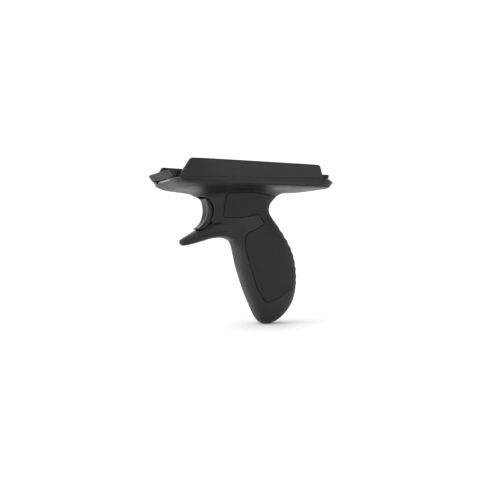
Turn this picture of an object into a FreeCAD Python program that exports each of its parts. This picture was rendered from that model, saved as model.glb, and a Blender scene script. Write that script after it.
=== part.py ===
import FreeCAD, Part
import math
import os

# Clip-on trigger handle for a slab-shaped mobile computer. Millimetres. The seat of the cradle is
# the plane z = 0, the nose points along -X, the tail along +X and the grip hangs down along -Z.
# The clamshell splits on the plane y = 0: the left half is on -Y and the right half on +Y.

Vector = FreeCAD.Vector
X_AXIS = Vector(1, 0, 0)
Y_AXIS = Vector(0, 1, 0)
Z_AXIS = Vector(0, 0, 1)

# --- driving dimensions ------------------------------------------------------------------------
# The plan outline at three levels: where tray and hull meet, at the sharp edge of the rim, and at
# the top of the latch bar in front and of the tail lip behind.
LOW_NOSE_X = -72.0
LOW_TAIL_X = 78.5
EDGE_NOSE_X = -75.6
EDGE_TAIL_X = 82.5
EDGE_Z = 0.8
LIP_TAIL_X = 78.3
LIP_Z = 3.7
HALF_WIDTH = 42.0
OUTLINE_POWER = 6.0
HULL_TOP = -3.6
WING_TOP = 15.2
WING_WALL = 2.5
SHELL_WALL = 2.6
SEAM_GAP = 0.06

GRIP_RUBBER = 1.5
RUBBER_PROUD = 0.25
RUBBER_GAP = 0.5
RIB_PITCH = 6.6
RIB_HEIGHT = 0.45

SCOOP_X = -42.5
SCOOP_Z = -26.3
SCOOP_RADIUS = 13.0
TRIGGER_HALF = 7.4
SLOT_HALF = 8.5
PIVOT_X = -31.0
PIVOT_Z = -12.6
PIN_RADIUS = 1.5
PIN_HALF = 12.6
HUB_RADIUS = 3.1
RUNNING_CLEARANCE = 0.05

SWITCH_Z = -24.0
BOARD_X = -8.0
BOARD_THICK = 1.2
SWITCH_DEPTH = 6.6
PLUNGER_TIP_X = -18.6

CONTACT_X = 20.0
CONTACT_COUNT = 6
CONTACT_PITCH = 2.54
CONTACT_PROUD = 1.2
FLEX_TOP = -7.0

LATCH_HALF = 29.0
LATCH_NOSE_X = -79.3
LATCH_FOOT_NOSE_X = -75.4
LATCH_TOP = 5.6
LATCH_DEPTH = 11.0
LATCH_LEG_X = -69.8
LATCH_LEG_Y = 13.0
LATCH_SPRING_Y = 6.7
PLATE_TOP = -0.35
PLATE_BOTTOM = -1.95
PLATE_FRONT = -71.8
PLATE_BACK = -54.8
PLATE_HALF = 17.6
TRACK_BOTTOM = -2.1
SPRING_START = -64.2
SPRING_END = -56.0

CRADLE_SCREWS = [(-45.0, 12.5), (-4.0, 22.0), (32.5, 12.5)]
SHELL_SCREWS = [(-10.0, -38.5, 8.0), (24.0, -116.0, 7.0), (-33.0, -46.5, 5.5)]
SEAT_PADS = [(-44.0, 24.0), (-44.0, -24.0), (44.0, 24.0), (44.0, -24.0)]
SEAT_PAD_LENGTH = 26.0
SEAT_PAD_WIDTH = 10.0
HOOK_X = 72.0
HOOK_Y = 31.5
WING_PROUD = 0.2
SEAT_FRONT = -64.5
SEAT_BACK = 66.0
SEAT_HALF = 38.3
SEAT_STEP = 0.3
GASKET_INSET = 6.0
GASKET_WIDTH = 2.0
GASKET_DEPTH = 0.6


# --- helpers -----------------------------------------------------------------------------------
def box(x0, x1, y0, y1, z0, z1):
    return Part.makeBox(x1 - x0, y1 - y0, z1 - z0, Vector(x0, y0, z0))


def rod(radius, start, axis, length):
    return Part.makeCylinder(radius, length, start, axis)


def join(first, *others):
    """Fuse solids and merge the faces that have become one."""
    return first.fuse(list(others)).removeSplitter()


def mirrored(shape):
    """The same piece on the other side of the centre plane."""
    return shape.mirror(Vector(0, 0, 0), Y_AXIS)


def rounded_wire(corners):
    """Closed outline in the side plane from (x, z, radius) corners, each rounded by an arc."""
    count = len(corners)
    points = [Vector(x, 0, z) for x, z, _ in corners]
    edges = []
    last_end = None
    first_start = None
    for i in range(count):
        corner = points[i]
        before = (points[i - 1] - corner).normalize()
        after = (points[(i + 1) % count] - corner).normalize()
        radius = corners[i][2]
        start = end = corner
        if radius > 0:
            half_angle = before.getAngle(after) / 2
            reach = radius / math.tan(half_angle)
            start = corner + before * reach
            end = corner + after * reach
            middle = (before + after).normalize()
            centre = corner + middle * (radius / math.sin(half_angle))
            arc = Part.Arc(start, centre - middle * radius, end).toShape()
        if last_end is not None and (start - last_end).Length > 1e-6:
            edges.append(Part.makeLine(last_end, start))
        if radius > 0:
            edges.append(arc)
        first_start = first_start or start
        last_end = end
    if (first_start - last_end).Length > 1e-6:
        edges.append(Part.makeLine(last_end, first_start))
    return Part.Wire(edges)


def side_prism(corners, y0, y1, grow=0.0):
    """Extrude a rounded side-view outline from y0 to y1."""
    face = Part.Face(rounded_wire(corners))
    if grow:
        face = face.makeOffset2D(grow)
    face.translate(Vector(0, y0, 0))
    return face.extrude(Vector(0, y1 - y0, 0))


def plan_prism(outline, z0, z1):
    """Extrude a closed plan-view wire from z0 to z1."""
    face = Part.Face(outline)
    face.translate(Vector(0, 0, z0))
    return face.extrude(Vector(0, 0, z1 - z0))


def plan_outline(nose_x, tail_x, inset=0.0, z=0.0):
    """Rounded-rectangle plan between a nose and a tail, drawn in by inset all round."""
    centre = (nose_x + tail_x) / 2
    half_length = (tail_x - nose_x) / 2 - inset
    half_width = HALF_WIDTH - inset
    steps = 24
    points = []
    for i in range(4 * steps):
        angle = math.pi * i / (2 * steps)
        cos, sin = math.cos(angle), math.sin(angle)
        scale = (abs(cos) ** OUTLINE_POWER + abs(sin) ** OUTLINE_POWER) ** (-1 / OUTLINE_POWER)
        points.append(Vector(centre + half_length * cos * scale, half_width * sin * scale, z))
    curve = Part.BSplineCurve()
    curve.interpolate(points, PeriodicFlag=True)
    return Part.Wire(curve.toShape())


def save(name, shape):
    shape.exportStep("parts/" + name + ".step")


# --- skinned bodies ----------------------------------------------------------------------------
# A body is a row of rings. Each ring spans from a first point to a second point in the centre
# plane and bulges out to half_width. widest says how far along it is widest, and the two powers
# say how square each end is (2 is an ellipse).
# (x1, z1, x2, z2, half_width, widest, power1, power2)
BODY_RINGS = [
    (-72.0, -3.6, 78.5, -3.6, 42.0, 0.50, 6.0, 6.0),
    (-71.2, -4.2, 77.9, -4.1, 41.6, 0.50, 6.0, 6.0),
    (-70.0, -5.3, 75.8, -4.7, 40.0, 0.50, 5.8, 6.0),
    (-68.4, -6.3, 72.0, -5.1, 37.2, 0.50, 5.4, 5.6),
    (-66.4, -7.5, 66.5, -5.4, 33.6, 0.50, 5.0, 5.0),
    (-62.6, -8.5, 58.5, -5.8, 29.4, 0.50, 4.4, 4.4),
    (-56.2, -9.5, 50.2, -6.5, 25.2, 0.50, 3.8, 3.8),
    (-49.6, -10.6, 42.4, -8.0, 21.5, 0.51, 3.2, 3.2),
    (-45.0, -12.4, 36.2, -10.9, 18.9, 0.53, 2.7, 2.8),
    (-43.0, -15.8, 31.6, -15.2, 17.0, 0.56, 2.2, 2.5),
    (-42.5, -20.0, 28.4, -20.0, 16.0, 0.58, 1.95, 2.4),
    (-42.5, -26.0, 27.8, -25.8, 15.5, 0.58, 1.85, 2.4),
    (-41.5, -32.0, 30.6, -31.2, 15.4, 0.57, 1.85, 2.4),
    (-36.5, -38.0, 35.2, -36.8, 15.5, 0.55, 2.0, 2.4),
    (-25.0, -43.5, 39.8, -42.5, 15.6, 0.52, 2.2, 2.4),
    (-14.0, -49.0, 43.8, -48.3, 15.8, 0.50, 2.5, 2.4),
    (-8.6, -55.0, 47.8, -54.5, 16.0, 0.50, 2.7, 2.4),
    (-6.3, -62.0, 51.4, -61.5, 16.2, 0.50, 2.8, 2.4),
    (-4.3, -71.0, 54.4, -70.0, 16.5, 0.50, 2.8, 2.4),
    (-1.4, -81.0, 56.1, -80.0, 16.6, 0.50, 2.8, 2.4),
    (2.0, -91.0, 56.4, -90.0, 16.5, 0.50, 2.8, 2.4),
    (5.8, -101.0, 55.4, -100.0, 16.1, 0.50, 2.8, 2.4),
    (9.8, -110.0, 52.6, -108.8, 15.2, 0.50, 2.8, 2.4),
    (13.4, -118.0, 48.2, -116.0, 13.6, 0.50, 2.7, 2.4),
    (16.2, -123.6, 42.8, -121.9, 11.2, 0.50, 2.6, 2.4),
    (19.2, -127.4, 37.2, -126.2, 8.0, 0.50, 2.4, 2.4),
    (23.0, -129.6, 31.6, -129.2, 3.6, 0.50, 2.2, 2.2),
]
GUARD_RINGS = [
    (-58.3, -53.2, -57.7, -55.2, 2.6, 0.50, 2.4, 2.4),
    (-57.8, -52.3, -56.8, -56.5, 4.0, 0.50, 2.8, 2.6),
    (-56.2, -51.1, -55.0, -57.1, 5.0, 0.50, 3.2, 2.8),
    (-51.8, -48.6, -50.4, -56.4, 6.4, 0.48, 3.4, 2.8),
    (-45.6, -45.2, -44.6, -55.0, 9.0, 0.45, 3.6, 2.8),
    (-39.0, -41.4, -37.8, -53.1, 11.0, 0.42, 3.6, 2.8),
    (-30.0, -36.0, -28.4, -50.7, 12.3, 0.42, 3.2, 2.8),
    (-18.0, -33.0, -17.0, -50.3, 13.0, 0.42, 3.0, 2.8),
    (-5.0, -34.0, -5.0, -55.0, 12.4, 0.42, 3.0, 2.8),
]
# Line of the crease along the side of the guard fin, in side view (x, z).
CREASE_LINE = [(-62.0, -55.2), (-54.0, -52.9), (-44.0, -49.7), (-34.0, -46.6), (-26.0, -45.0), (-20.0, -44.6)]
CREASE_HEIGHT = 0.8
CREASE_DEPTH = 0.45
FIRST_CAVITY_RING = 6
LAST_CAVITY_RING = 24
RING_COLUMNS = 30
ROWS_PER_RING = 2


def blended_ring(rings, place):
    """Ring at a fractional place in the row, by Catmull-Rom interpolation between neighbours."""
    last = len(rings) - 1
    index = min(int(place), last - 1)
    t = place - index
    quad = [rings[min(max(index + k, 0), last)] for k in (-1, 0, 1, 2)]
    values = []
    for a, b, c, d in zip(*quad):
        slope_in = (c - a) / 2
        slope_out = (d - b) / 2
        cubic = 2 * b - 2 * c + slope_in + slope_out
        square = -3 * b + 3 * c - 2 * slope_in - slope_out
        values.append(cubic * t ** 3 + square * t ** 2 + slope_in * t + b)
    return values


def ring_point(rings, place, angle):
    """Point of the skin: angle 0 is the ring's first end, pi its second end."""
    x1, z1, x2, z2, half_width, widest, power1, power2 = blended_ring(rings, place)
    cos, sin = math.cos(angle), math.sin(angle)
    power = power1 if cos > 0 else power2
    scale = (abs(cos) ** power + abs(sin) ** power) ** (-1 / power)
    reach = widest if cos > 0 else 1 - widest
    along = widest - reach * cos * scale
    side = 0.0 if angle in (0.0, math.pi) else half_width * sin * scale
    return Vector(x1 + (x2 - x1) * along, side, z1 + (z2 - z1) * along)


def lifted_point(rings, place, angle, lift):
    """Skin point moved outwards along the skin's normal."""
    point = ring_point(rings, place, angle)
    if lift == 0:
        return point
    step = 0.02
    last = len(rings) - 1
    down = ring_point(rings, min(place + step, last), angle)
    down = down - ring_point(rings, max(place - step, 0), angle)
    around = ring_point(rings, place, min(angle + step, math.pi))
    around = around - ring_point(rings, place, max(angle - step, 0.0))
    normal = around.cross(down)
    if angle in (0.0, math.pi):
        normal = Vector(down.z, 0, -down.x)
    normal = normal.normalize()
    if normal.dot(point - ring_centre(rings, place)) < 0:
        normal = normal * -1
    moved = point + normal * lift
    if angle in (0.0, math.pi):
        moved.y = 0.0
    return moved


def ring_centre(rings, place):
    x1, z1, x2, z2 = blended_ring(rings, place)[:4]
    return Vector((x1 + x2) / 2, 0, (z1 + z2) / 2)


def half_solid(rows):
    """Closed solid on the +Y side of the centre plane, bounded by a smooth skin through rows."""
    surface = Part.BSplineSurface()
    surface.interpolate(rows)
    skin = surface.toShape()
    caps = []
    profile = []
    for edge in skin.Edges:
        middle = edge.valueAt((edge.FirstParameter + edge.LastParameter) / 2)
        if abs(middle.y) < 1e-4:
            profile.append(edge)
            continue
        ends = [v.Point for v in edge.Vertexes]
        line = Part.makeLine(ends[-1], ends[0])
        caps.append(Part.Face(Part.Wire([edge, line])))
    for row in (rows[0], rows[-1]):
        profile.append(Part.makeLine(row[0], row[-1]))
    wire = Part.Wire(Part.__sortEdges__(profile))
    shell = Part.makeShell([skin, Part.Face(wire)] + caps)
    shell.sewShape()
    solid = Part.Solid(shell)
    if solid.Volume < 0:
        solid.reverse()
    return solid


def skin_rows(rings, first, last, per_ring, lift):
    """Rows of skin points between two places; lift is a distance or a function of angle and point."""
    rows = []
    count = int((last - first) * per_ring)
    for i in range(count + 1):
        place = first + (last - first) * i / count
        row = []
        for j in range(RING_COLUMNS + 1):
            angle = math.pi if j == RING_COLUMNS else math.pi * j / RING_COLUMNS
            amount = lift(angle, ring_point(rings, place, angle)) if callable(lift) else lift
            row.append(lifted_point(rings, place, angle, amount))
        rows.append(row)
    return rows


def body_half():
    return half_solid(skin_rows(BODY_RINGS, 0, len(BODY_RINGS) - 1, ROWS_PER_RING, 0.0))


def levelled(row):
    """Row pressed onto the tilted plane through its two centre-plane ends."""
    start, end = row[0], row[-1]
    slope = (end.z - start.z) / (end.x - start.x)
    return [Vector(p.x, p.y, start.z + slope * (p.x - start.x)) for p in row]


def body_core(depth, first, last):
    """Half body drawn in by depth between two rings, carried straight up through the top."""
    rows = skin_rows(BODY_RINGS, first, last, ROWS_PER_RING, -depth)
    rows[0] = levelled(rows[0])
    rows[-1] = levelled(rows[-1])
    core = half_solid(rows)
    lid = max(core.Faces, key=lambda face: face.CenterOfMass.z)
    return core.fuse(lid.extrude(Vector(0, 0, 2.0 - rows[0][0].z)))


# --- outlines ----------------------------------------------------------------------------------
# Rubber pad in side view: an upper lobe on the neck and a long lower lobe on the grip, joined at
# the back, with a band of hard plastic reaching in between them. (x, z, corner radius)
PAD_OUTLINE = [
    (-20.3, -11.4, 2.5),
    (6.0, -10.0, 20.0),
    (26.0, -12.2, 20.0),
    (50.0, -14.0, 0.0),
    (75.0, -60.0, 0.0),
    (70.0, -92.0, 0.0),
    (44.0, -97.4, 6.0),
    (27.5, -106.6, 8.0),
    (19.2, -108.6, 3.0),
    (11.0, -95.0, 40.0),
    (5.0, -77.0, 60.0),
    (-1.0, -55.5, 20.0),
    (0.0, -46.6, 4.0),
    (9.5, -42.2, 10.0),
    (18.8, -37.0, 2.0),
    (11.4, -28.4, 3.0),
    (-4.0, -31.8, 20.0),
    (-21.8, -31.8, 2.5),
]
TRIGGER_FRONT = [(-36.9, -15.6), (-35.0, -20.5), (-34.4, -26.0), (-35.1, -31.5), (-37.3, -36.4),
                 (-40.4, -39.8), (-43.6, -41.9)]
TRIGGER_BACK = [(-42.2, -42.9), (-39.6, -42.4), (-34.0, -38.0), (-29.4, -32.6), (-27.0, -26.6),
                (-26.6, -19.0), (-27.9, -12.6)]
SLOT_OUTLINE = [(-49.0, -43.0, 0), (-44.4, -43.6, 0), (-37.0, -45.2, 1), (-29.0, -38.8, 3),
                (-22.0, -33.0, 3), (-14.0, -30.0, 3), (-12.0, -6.0, 0), (-36.2, -6.0, 0),
                (-37.8, -14.2, 0), (-49.0, -14.2, 0)]


# --- housing halves ----------------------------------------------------------------------------
def crease_band():
    """Narrow band that follows the crease line, in side view."""
    upper = [Vector(x, 0, z + CREASE_HEIGHT / 2) for x, z in CREASE_LINE]
    lower = [Vector(x, 0, z - CREASE_HEIGHT / 2) for x, z in CREASE_LINE]
    band = Part.Face(Part.makePolygon(upper + lower[::-1] + upper[:1]))
    return band.extrude(Vector(0, HALF_WIDTH, 0))


def guard_half():
    """Guard fin on +Y with a shallow crease along its side."""
    last = len(GUARD_RINGS) - 1
    fin = half_solid(skin_rows(GUARD_RINGS, 0, last, ROWS_PER_RING, 0.0))
    rows = skin_rows(GUARD_RINGS, 1, last, ROWS_PER_RING, -CREASE_DEPTH)
    rows[0] = levelled(rows[0])
    rows[-1] = levelled(rows[-1])
    return fin.cut(crease_band().cut(half_solid(rows)))


def boss(radius, x, z, outer, y0):
    """Tube blank along Y from y0 out to the skin, trimmed to the outer shape."""
    return rod(radius, Vector(x, y0, z), Y_AXIS, HALF_WIDTH).common(outer)


def post(radius, x, y, outer):
    """Column standing inside the hull under a cradle screw."""
    column = rod(radius, Vector(x, y, HULL_TOP - 12.0), Z_AXIS, 12.0)
    return column.common(outer)


def plain_housing_half():
    """Half shell on +Y with bosses, trigger slot, scoop and rubber pocket, before screw holes."""
    body = body_half()
    guard = guard_half()
    cavity = body_core(SHELL_WALL, FIRST_CAVITY_RING, LAST_CAVITY_RING)
    shell = body.cut(cavity).fuse(guard)
    outer = body_core(0.8, FIRST_CAVITY_RING - 1, LAST_CAVITY_RING + 0.5)
    inside = outer.cut(box(LOW_NOSE_X, LOW_TAIL_X, -1, HALF_WIDTH, HULL_TOP, 5))
    pieces = [boss(3.2, x, z, inside, 0.0) for x, z, _ in SHELL_SCREWS[:2]]
    pieces.append(boss(3.4, PIVOT_X, PIVOT_Z, inside, SLOT_HALF))
    pieces += [post(3.0, x, y, inside) for x, y in CRADLE_SCREWS]
    board_rail = box(BOARD_X - 1.4, BOARD_X + BOARD_THICK + 1.4, 9.2, HALF_WIDTH, -33.0, -13.0)
    pieces.append(board_rail.common(inside))
    shell = shell.fuse(pieces)
    slot = side_prism(SLOT_OUTLINE, -1.0, SLOT_HALF)
    scoop = rod(SCOOP_RADIUS, Vector(SCOOP_X, -1, SCOOP_Z), Y_AXIS, HALF_WIDTH)
    pocket = side_prism(PAD_OUTLINE, -1.0, HALF_WIDTH, RUBBER_GAP)
    pocket = pocket.cut(body_core(GRIP_RUBBER + 0.1, FIRST_CAVITY_RING, LAST_CAVITY_RING))
    board_slot = box(BOARD_X - 0.1, BOARD_X + BOARD_THICK + 0.1, -1, 10.4, -34.0, -12.0)
    shell = shell.cut([slot, scoop, pocket, board_slot, gasket_ring(0.1)])
    shell = shell.cut(rod(PIN_RADIUS + 0.02, Vector(PIVOT_X, -1, PIVOT_Z), Y_AXIS, PIN_HALF + 1.2))
    for x, y in CRADLE_SCREWS:
        shell = shell.cut(rod(1.75, Vector(x, y, HULL_TOP - 4.5), Z_AXIS, 6.0))
    return shell


def main_solid(shape):
    """The largest solid, which drops slivers left by the cuts."""
    return max(shape.Solids, key=lambda s: s.Volume)


def right_housing(half):
    """Right half: clearance holes and sunk seats for the shell screws."""
    tools = []
    for x, z, seat in SHELL_SCREWS:
        tools.append(rod(1.4, Vector(x, -1, z), Y_AXIS, 20))
        tools.append(rod(2.6, Vector(x, seat, z), Y_AXIS, 20))
    return main_solid(half.cut(tools))


def left_housing(half):
    """Left half: blind holes for the brass inserts."""
    tools = [rod(1.9, Vector(x, -7.6, z), Y_AXIS, 9) for x, z, _ in SHELL_SCREWS]
    return main_solid(mirrored(half).cut(tools))


def rib_lift(angle, point):
    """How far the rubber stands proud: raised all over, with round ribs across the backstrap."""
    across = min(max((angle / math.pi - 0.70) / 0.08, 0.0), 1.0)
    along = min(max((point.z + 104.0) / 5.0, 0.0), 1.0) * min(max((-36.0 - point.z) / 5.0, 0.0), 1.0)
    wave = 0.5 - 0.5 * math.cos(2 * math.pi * point.z / RIB_PITCH)
    return RUBBER_PROUD - RIB_HEIGHT * across * along * wave


def grip_pad():
    """Rubber pad on +Y: the layer between a lifted skin and a sunk skin, inside the pad outline."""
    rows = skin_rows(BODY_RINGS, FIRST_CAVITY_RING, LAST_CAVITY_RING, 8, rib_lift)
    rows[0] = levelled(rows[0])
    rows[-1] = levelled(rows[-1])
    layer = half_solid(rows).cut(body_core(GRIP_RUBBER, FIRST_CAVITY_RING, LAST_CAVITY_RING))
    return main_solid(layer.common(side_prism(PAD_OUTLINE, SEAM_GAP, HALF_WIDTH)))


# --- cradle ------------------------------------------------------------------------------------
def outline_x(y, nose_x):
    """X of the nose end of a plan outline at a given y."""
    half_length = (EDGE_TAIL_X - nose_x) / 2
    ratio = (1 - (abs(y) / HALF_WIDTH) ** OUTLINE_POWER) ** (1 / OUTLINE_POWER)
    return (nose_x + EDGE_TAIL_X) / 2 - half_length * ratio


def ring_prism(nose_x, tail_x, inset_outer, inset_inner, z0, z1):
    outer = plan_prism(plan_outline(nose_x, tail_x, inset_outer), z0, z1)
    return outer.cut(plan_prism(plan_outline(nose_x, tail_x, inset_inner), z0 - 1, z1 + 1))


def gasket_ring(play):
    """Flat ring let into the top of the hull; play widens it into its groove."""
    return ring_prism(LOW_NOSE_X, LOW_TAIL_X, GASKET_INSET - play, GASKET_INSET + GASKET_WIDTH + play,
                      HULL_TOP - GASKET_DEPTH - play, HULL_TOP)


def tray():
    """Floor with a rim that flares out to a sharp edge and leans back in to the tail lip."""
    inset = WING_PROUD
    low = plan_outline(LOW_NOSE_X - inset, LOW_TAIL_X + inset, inset, HULL_TOP)
    edge = plan_outline(EDGE_NOSE_X - inset, EDGE_TAIL_X + inset, inset, EDGE_Z)
    top = plan_outline(EDGE_NOSE_X - inset, LIP_TAIL_X + inset, inset, LIP_Z)
    body = Part.makeLoft([low, edge], True, True).fuse(Part.makeLoft([edge, top], True, True))
    hollow = plan_prism(plan_outline(LOW_NOSE_X, LOW_TAIL_X, 3.0), -SEAT_STEP, 10.0)
    nose = box(-90.0, -58.0, -HALF_WIDTH - 5, HALF_WIDTH + 5, -SEAT_STEP, 10.0)
    seat = box(SEAT_FRONT, SEAT_BACK, -SEAT_HALF, SEAT_HALF, -5.0, 0.0)
    seat = seat.makeFillet(6.0, [e for e in seat.Edges if abs(e.CenterOfMass.z + 2.5) < 0.01])
    return body.cut(hollow.fuse(nose).cut(seat))


def wings():
    wall = ring_prism(EDGE_NOSE_X, EDGE_TAIL_X, 0.0, WING_WALL, HULL_TOP, WING_TOP)
    side_view = [(-71.4, -3.6, 0), (-71.0, 0.0, 0), (-62.3, WING_TOP, 2.5), (59.8, WING_TOP, 3.0),
                 (63.4, 4.0, 1.0), (64.0, -3.6, 0)]
    wall = wall.common(side_prism(side_view, -HALF_WIDTH - 1, HALF_WIDTH + 1))
    return wall.cut(box(-90.0, 90.0, -34.0, 34.0, HULL_TOP - 1, WING_TOP + 1))


def snap_beads():
    """Two low ridges on the inner face of each wing that hold the device down."""
    inner = HALF_WIDTH - WING_WALL
    beads = []
    for x in (-42.0, 36.0):
        for side in (-1, 1):
            bead = rod(0.9, Vector(x - 6, side * (inner + 0.1), 11.6), X_AXIS, 12)
            beads.append(bead.common(box(x - 6, x + 6, -inner - 0.4, inner + 0.4, 10, 13)))
    return beads


def side_groove():
    """Shadow groove round the outside, between the wings and the hull rim, rising to the tail."""
    band = [(-86.0, -0.7, 0), (66.0, 3.6, 0), (66.0, 0.4, 0), (-86.0, -3.9, 0)]
    ring = ring_prism(EDGE_NOSE_X, EDGE_TAIL_X, -2.0, 1.1, -6.0, 8.0)
    return ring.common(side_prism(band, -HALF_WIDTH - 3, HALF_WIDTH + 3))


def latch_track():
    """T-shaped track in the floor that the latch plate slides in from the nose."""
    clear = 0.3
    half = PLATE_HALF + clear
    opening = box(-90.0, PLATE_BACK + 0.4, -half + 1.3, half - 1.3, TRACK_BOTTOM, 1.0)
    undercut = box(-90.0, PLATE_BACK + 0.4, -half, half, TRACK_BOTTOM, PLATE_TOP + 0.1)
    anchors = [box(SPRING_START - 1.6, SPRING_START, side * LATCH_SPRING_Y - 1.2, side * LATCH_SPRING_Y + 1.2,
                   TRACK_BOTTOM, PLATE_TOP) for side in (-1, 1)]
    return opening.fuse(undercut).cut(anchors)


def cradle():
    body = tray().fuse([wings()] + snap_beads())
    tools = [side_groove(), latch_track()]
    tools.append(box(CONTACT_X - 9.2, CONTACT_X + 9.2, -3.7, 3.7, -5, 1))
    for x, y in SEAT_PADS:
        half_x, half_y = SEAT_PAD_LENGTH / 2 + 0.2, SEAT_PAD_WIDTH / 2 + 0.2
        tools.append(box(x - half_x, x + half_x, y - half_y, y + half_y, -1.0, 1))
    for x, y in both_sides(CRADLE_SCREWS):
        tools.append(rod(1.35, Vector(x, y, -6), Z_AXIS, 8))
        tools.append(rod(2.4, Vector(x, y, -1.8), Z_AXIS, 3))
    for x, y in contact_screw_places():
        tools.append(rod(0.85, Vector(x, y, -6), Z_AXIS, 4.6))
    for side in (-1, 1):
        tools.append(rod(2.3, Vector(HOOK_X, side * HOOK_Y, -3.0), Z_AXIS, 8))
    return main_solid(body.cut(tools))


def both_sides(places):
    return [(x, side * y) for x, y in places for side in (-1, 1)]


def rear_hook(side):
    """Retention post with a round head that leans over the end of the device."""
    x, y = HOOK_X, side * HOOK_Y
    stem = rod(2.25, Vector(x, y, -2.9), Z_AXIS, 8.2)
    head = rod(2.9, Vector(x, y, 5.0), Z_AXIS, 2.8)
    beak = box(x - 4.6, x, y - 2.2, y + 2.2, 6.0, 7.8)
    hook = join(stem, head, beak)
    rims = [e for e in hook.Edges if abs(e.CenterOfMass.z - 7.8) < 0.01]
    return hook.makeFillet(0.8, rims)


# --- latch -------------------------------------------------------------------------------------
def bar_section(nose_x, back, z):
    """Closed plan wire of the latch bar at one level: nose curve in front, moved curve behind."""
    count = 12
    ys = [LATCH_HALF * (2 * i / count - 1) for i in range(count + 1)]
    front = [Vector(outline_x(y, nose_x), y, z) for y in ys]
    rear = [Vector(outline_x(y, LATCH_NOSE_X) + back, y, z) for y in ys]
    curves = []
    for row in (front, rear[::-1]):
        curve = Part.BSplineCurve()
        curve.interpolate(row)
        curves.append(curve.toShape())
    return Part.Wire([curves[0], Part.makeLine(front[-1], rear[-1]), curves[1],
                      Part.makeLine(rear[0], front[0])])


def front_latch():
    """Knurled release bar with a raked front face, a catch at the top and two legs below."""
    foot = bar_section(LATCH_FOOT_NOSE_X, LATCH_DEPTH, 0.25)
    crest = bar_section(LATCH_NOSE_X, LATCH_DEPTH, LATCH_TOP)
    bar = Part.makeLoft([foot, crest], True, True)
    catch = Part.Face(bar_section(LATCH_NOSE_X + 4.0, LATCH_DEPTH + 1.6, 3.8))
    bar = bar.fuse(catch.extrude(Vector(0, 0, LATCH_TOP - 3.8)))
    legs = [box(LATCH_LEG_X - 1.4, LATCH_LEG_X + 1.4, side * LATCH_LEG_Y - 3, side * LATCH_LEG_Y + 3,
                PLATE_TOP + 0.05, 0.5) for side in (-1, 1)]
    bar = bar.fuse(legs)
    grooves = []
    count = 26
    for i in range(count + 1):
        y = -26.0 + 52.0 * i / count
        low = Vector(outline_x(y, LATCH_FOOT_NOSE_X) - 0.1, y, 0.25)
        rake = Vector(outline_x(y, LATCH_NOSE_X) - 0.1, y, LATCH_TOP) - low
        grooves.append(rod(0.5, low - rake * 0.2, rake, rake.Length * 1.4))
    holes = [rod(0.75, Vector(LATCH_LEG_X, side * LATCH_LEG_Y, -3), Z_AXIS, 4.4) for side in (-1, 1)]
    return main_solid(bar.cut(grooves + holes))


def latch_plate():
    plate = box(PLATE_FRONT, PLATE_BACK, -PLATE_HALF, PLATE_HALF, PLATE_BOTTOM, PLATE_TOP)
    cuts = []
    for side in (-1, 1):
        y = side * LATCH_SPRING_Y
        cuts.append(box(SPRING_START - 1.8, SPRING_END, y - 1.5, y + 1.5, -4, 0))
        cuts.append(rod(0.8, Vector(LATCH_LEG_X, side * LATCH_LEG_Y, -4), Z_AXIS, 4))
        cuts.append(rod(1.5, Vector(LATCH_LEG_X, side * LATCH_LEG_Y, PLATE_BOTTOM - 0.1), Z_AXIS, 0.95))
    return plate.cut(cuts)


def screw(radius, head_radius, head_height, length):
    """Pan-head screw with its head's underside at z = 0 and its shank along -Z."""
    solid = rod(radius, Vector(0, 0, -length), Z_AXIS, length)
    solid = solid.fuse(rod(head_radius, Vector(0, 0, 0), Z_AXIS, head_height))
    socket = Part.makePolygon([Vector(head_radius * 0.48 * math.cos(math.pi * k / 3),
                                      head_radius * 0.48 * math.sin(math.pi * k / 3),
                                      head_height) for k in range(7)])
    return solid.cut(Part.Face(socket).extrude(Vector(0, 0, -head_height * 0.6)))


def placed(shape, position, direction):
    """Copy of a shape whose +Z is turned to direction and whose origin is moved to position."""
    copy = shape.copy()
    copy.Placement = FreeCAD.Placement(position, FreeCAD.Rotation(Z_AXIS, direction))
    return copy


def latch_screws():
    solid = screw(0.7, 1.4, 0.8, 2.3)
    return [placed(solid, Vector(LATCH_LEG_X, side * LATCH_LEG_Y, PLATE_BOTTOM + 0.85), Z_AXIS * -1)
            for side in (-1, 1)]


def coil(radius, wire, turns, length):
    """Round-wire helical spring along +Z from z = 0, standing wire clear of both ends."""
    pitch = (length - 2 * wire) / turns
    helix = Part.makeHelix(pitch, pitch * turns, radius)
    profile = Part.Wire(Part.makeCircle(wire, Vector(radius, 0, 0), Y_AXIS))
    spring = Part.Wire(helix.Edges).makePipeShell([profile], True, True)
    spring.translate(Vector(0, 0, wire))
    return spring


def latch_springs():
    spring = coil(0.7, 0.13, 7, SPRING_END - SPRING_START - 0.1)
    return [placed(spring, Vector(SPRING_START + 0.05, side * LATCH_SPRING_Y, (PLATE_TOP + PLATE_BOTTOM) / 2),
                   X_AXIS) for side in (-1, 1)]


# --- trigger -----------------------------------------------------------------------------------
def spline(points):
    curve = Part.BSplineCurve()
    curve.interpolate([Vector(x, 0, z) for x, z in points])
    return curve.toShape()


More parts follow.
